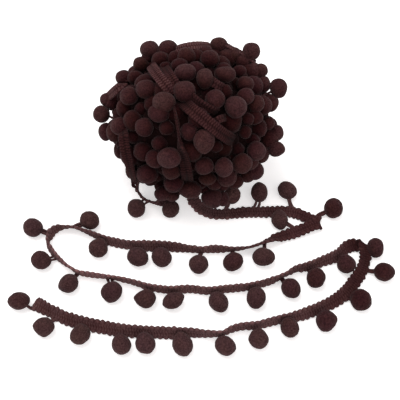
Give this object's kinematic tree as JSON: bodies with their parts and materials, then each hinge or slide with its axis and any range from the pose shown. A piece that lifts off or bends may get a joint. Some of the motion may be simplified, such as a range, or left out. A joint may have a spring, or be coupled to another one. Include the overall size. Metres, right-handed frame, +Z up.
{
  "type": "pompom fringe trim",
  "caption": "Dark brown pompom fringe trim heaped in a wound ball, its loose end laid out in switchback rows beside it.",
  "frame": {"origin": "middle of the ball's flat spot, on the surface it rests on", "axes": "+Z up; -Y from the ball towards the rows of the loose end; X along the rows"},
  "size_m": [0.1963, 0.1676, 0.0774],
  "materials": {
    "felt": "matte felted pile, dark brown",
    "braid": "matte ribbed braid, dark brown"
  },
  "bodies": {
    "root": {"ball": "felt", "loose_tape": "braid", "slack_tape": "braid", "pompom_01": "felt", "pompom_02": "felt", "pompom_03": "felt", "pompom_04": "felt", "pompom_05": "felt", "pompom_06": "felt", "pompom_07": "felt", "pompom_08": "felt", "pompom_09": "felt", "pompom_10": "felt", "pompom_11": "felt", "pompom_12": "felt", "pompom_13": "felt", "pompom_14": "felt", "pompom_15": "felt", "pompom_16": "felt", "pompom_17": "felt", "pompom_18": "felt", "pompom_19": "felt", "pompom_20": "felt", "pompom_21": "felt", "pompom_22": "felt", "pompom_23": "felt", "pompom_24": "felt", "pompom_25": "felt", "pompom_26": "felt", "pompom_27": "felt", "pompom_28": "felt", "pompom_29": "felt", "pompom_30": "felt", "pompom_31": "felt", "pompom_32": "felt", "pompom_33": "felt", "pompom_34": "felt", "pompom_35": "felt", "pompom_36": "felt", "slack_pompom_1": "felt", "slack_pompom_2": "felt"}
  },
  "joints": []
}
